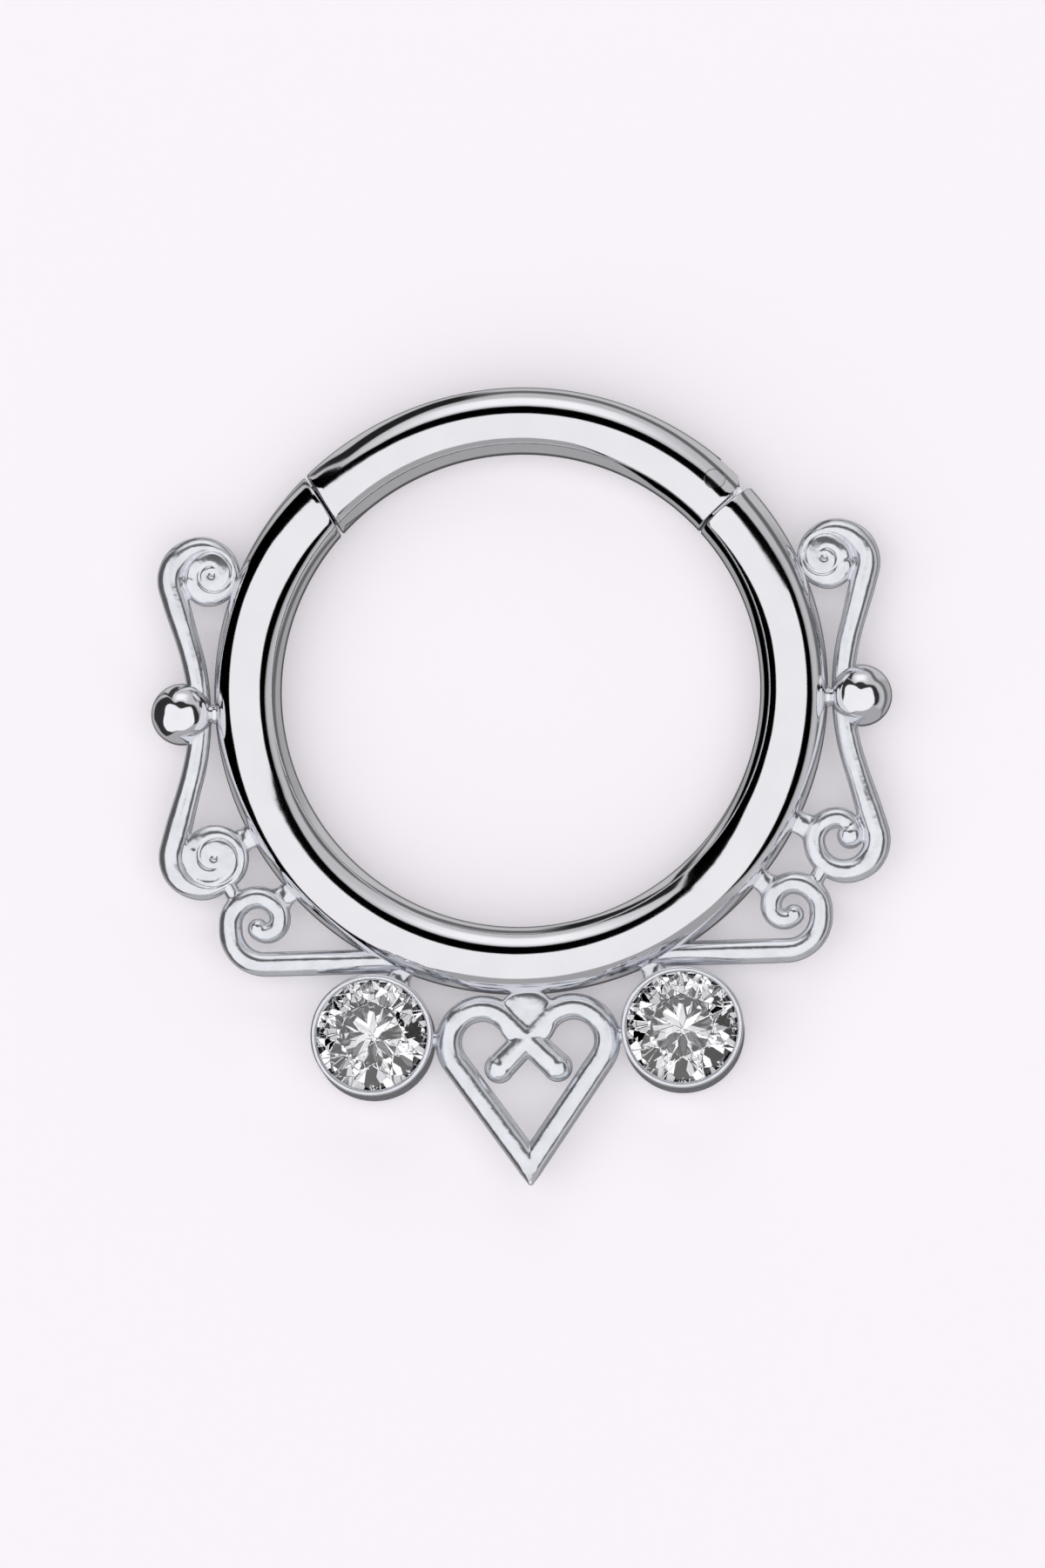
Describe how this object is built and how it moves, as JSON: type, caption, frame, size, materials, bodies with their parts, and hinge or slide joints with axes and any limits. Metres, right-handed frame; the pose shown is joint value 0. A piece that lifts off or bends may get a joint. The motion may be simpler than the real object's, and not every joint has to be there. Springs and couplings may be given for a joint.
{
  "type": "hinged septum ring",
  "caption": "Hinged round-wire septum ring with cast scrolls, side beads, two cup-set clear stones and an open heart hanging below the band.",
  "frame": {"origin": "on the ring's axis, in the plane that the ring lies on", "axes": "+Z along the ring's axis, up from the surface it lies on; +Y from the ring's centre towards the hinged segment; +X towards the hinge's side"},
  "size_m": [0.0132, 0.0142, 0.0013],
  "materials": {
    "band_steel": "mirror polished",
    "cast_steel": "satin bright casting",
    "pin_steel": "polished flush",
    "clear_stone": "faceted, clear"
  },
  "bodies": {
    "frame": {"ring_frame": "band_steel", "stone_left": "clear_stone", "stone_right": "clear_stone"},
    "segment": {"hinged_segment": "band_steel", "hinge_pin": "pin_steel"}
  },
  "joints": [
    {"name": "segment_hinge", "type": "hinge", "parent": "frame", "child": "segment", "pos_m": [0.00355, 0.00359, 0.0006], "axis": [0, 0, -1], "range_deg": [0, 85]}
  ]
}
